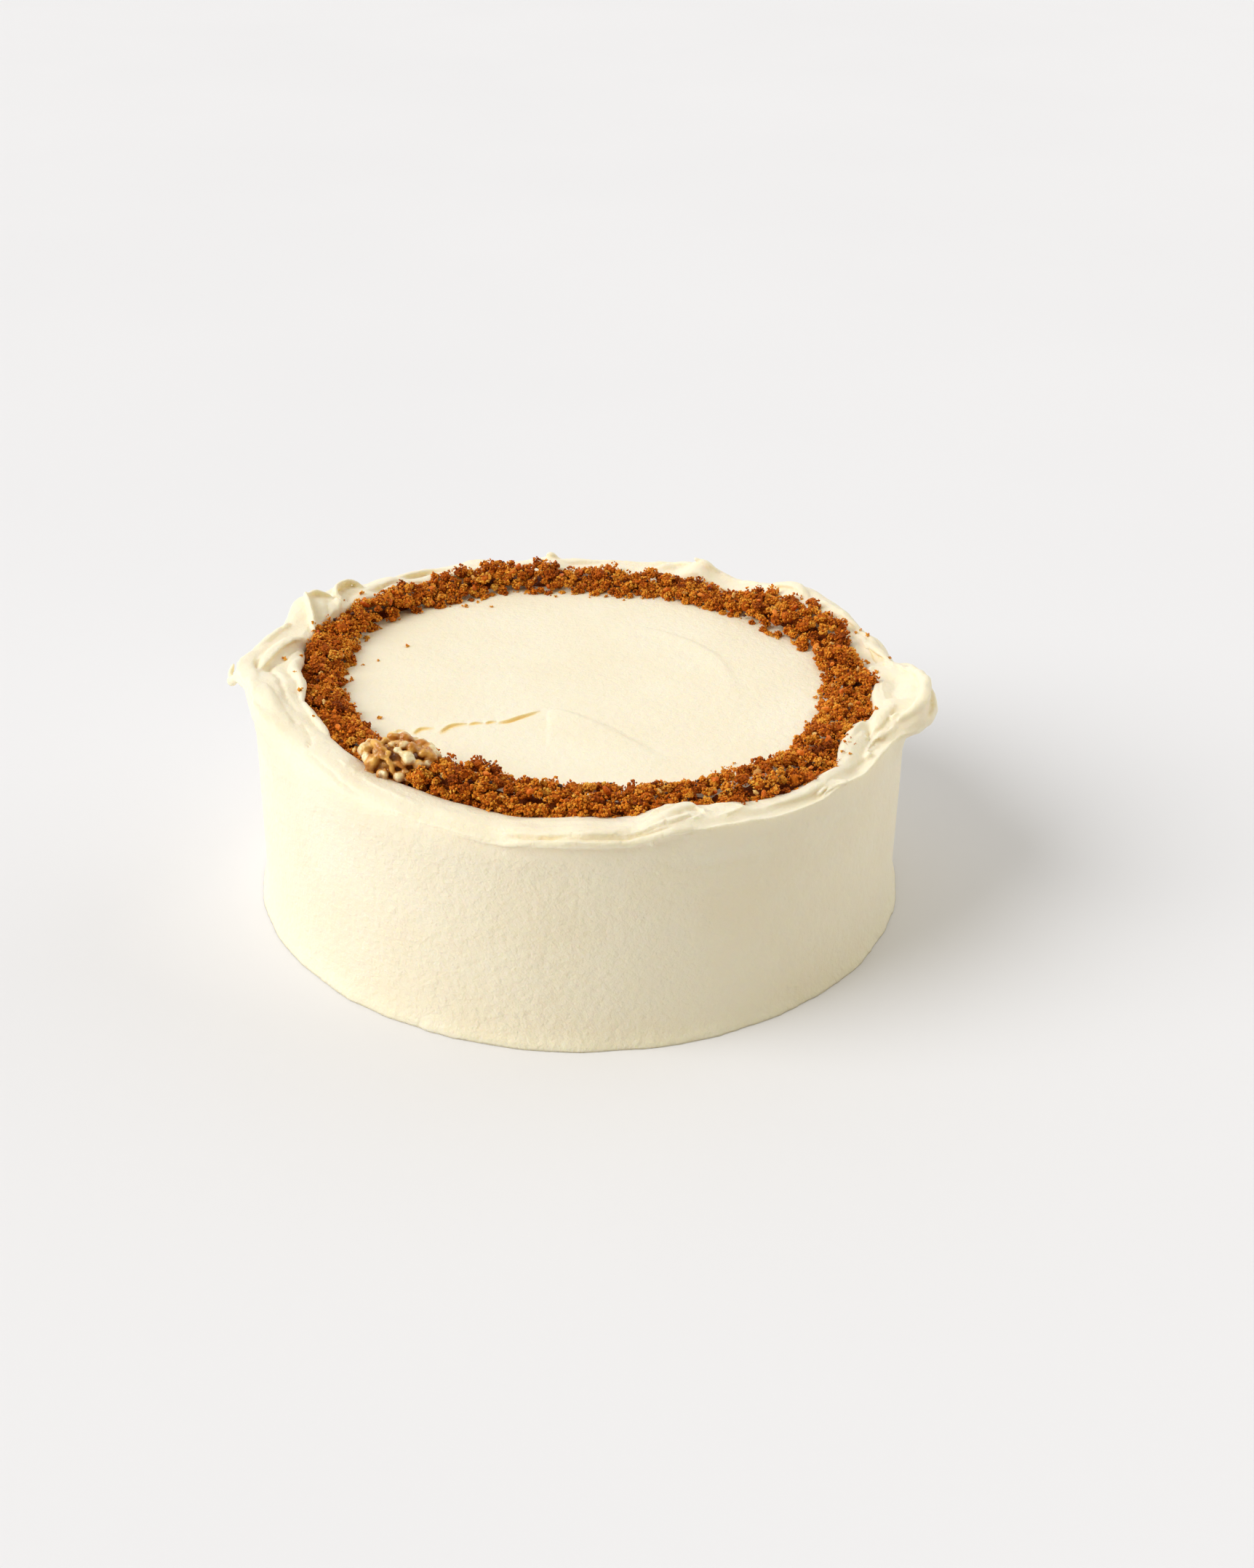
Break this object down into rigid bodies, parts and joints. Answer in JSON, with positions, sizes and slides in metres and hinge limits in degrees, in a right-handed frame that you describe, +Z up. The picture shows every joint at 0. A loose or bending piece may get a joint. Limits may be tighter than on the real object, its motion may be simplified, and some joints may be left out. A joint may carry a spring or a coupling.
{
  "type": "carrot cake",
  "caption": "Uncut round layer cake under cream cheese frosting, with a rough raised rim, a ring of cake crumbs on top and a walnut half.",
  "frame": {"origin": "centre of the flat base", "axes": "+Z up through the middle of the cake; -Y is the front of the cake, with the walnut half at the front left"},
  "size_m": [0.2321, 0.2214, 0.0854],
  "materials": {
    "frosting": "soft cream cheese frosting, satin, finely pitted side and palette-knife ridges",
    "cake_crumbs": "dry baked carrot cake crumbs, brown with orange carrot and pale nut bits",
    "walnut": "walnut kernel, pale lobes under a thin amber brown skin"
  },
  "bodies": {
    "root": {"frosted_cake": "frosting", "crumb_ring": "cake_crumbs", "walnut_half": "walnut"}
  },
  "joints": []
}
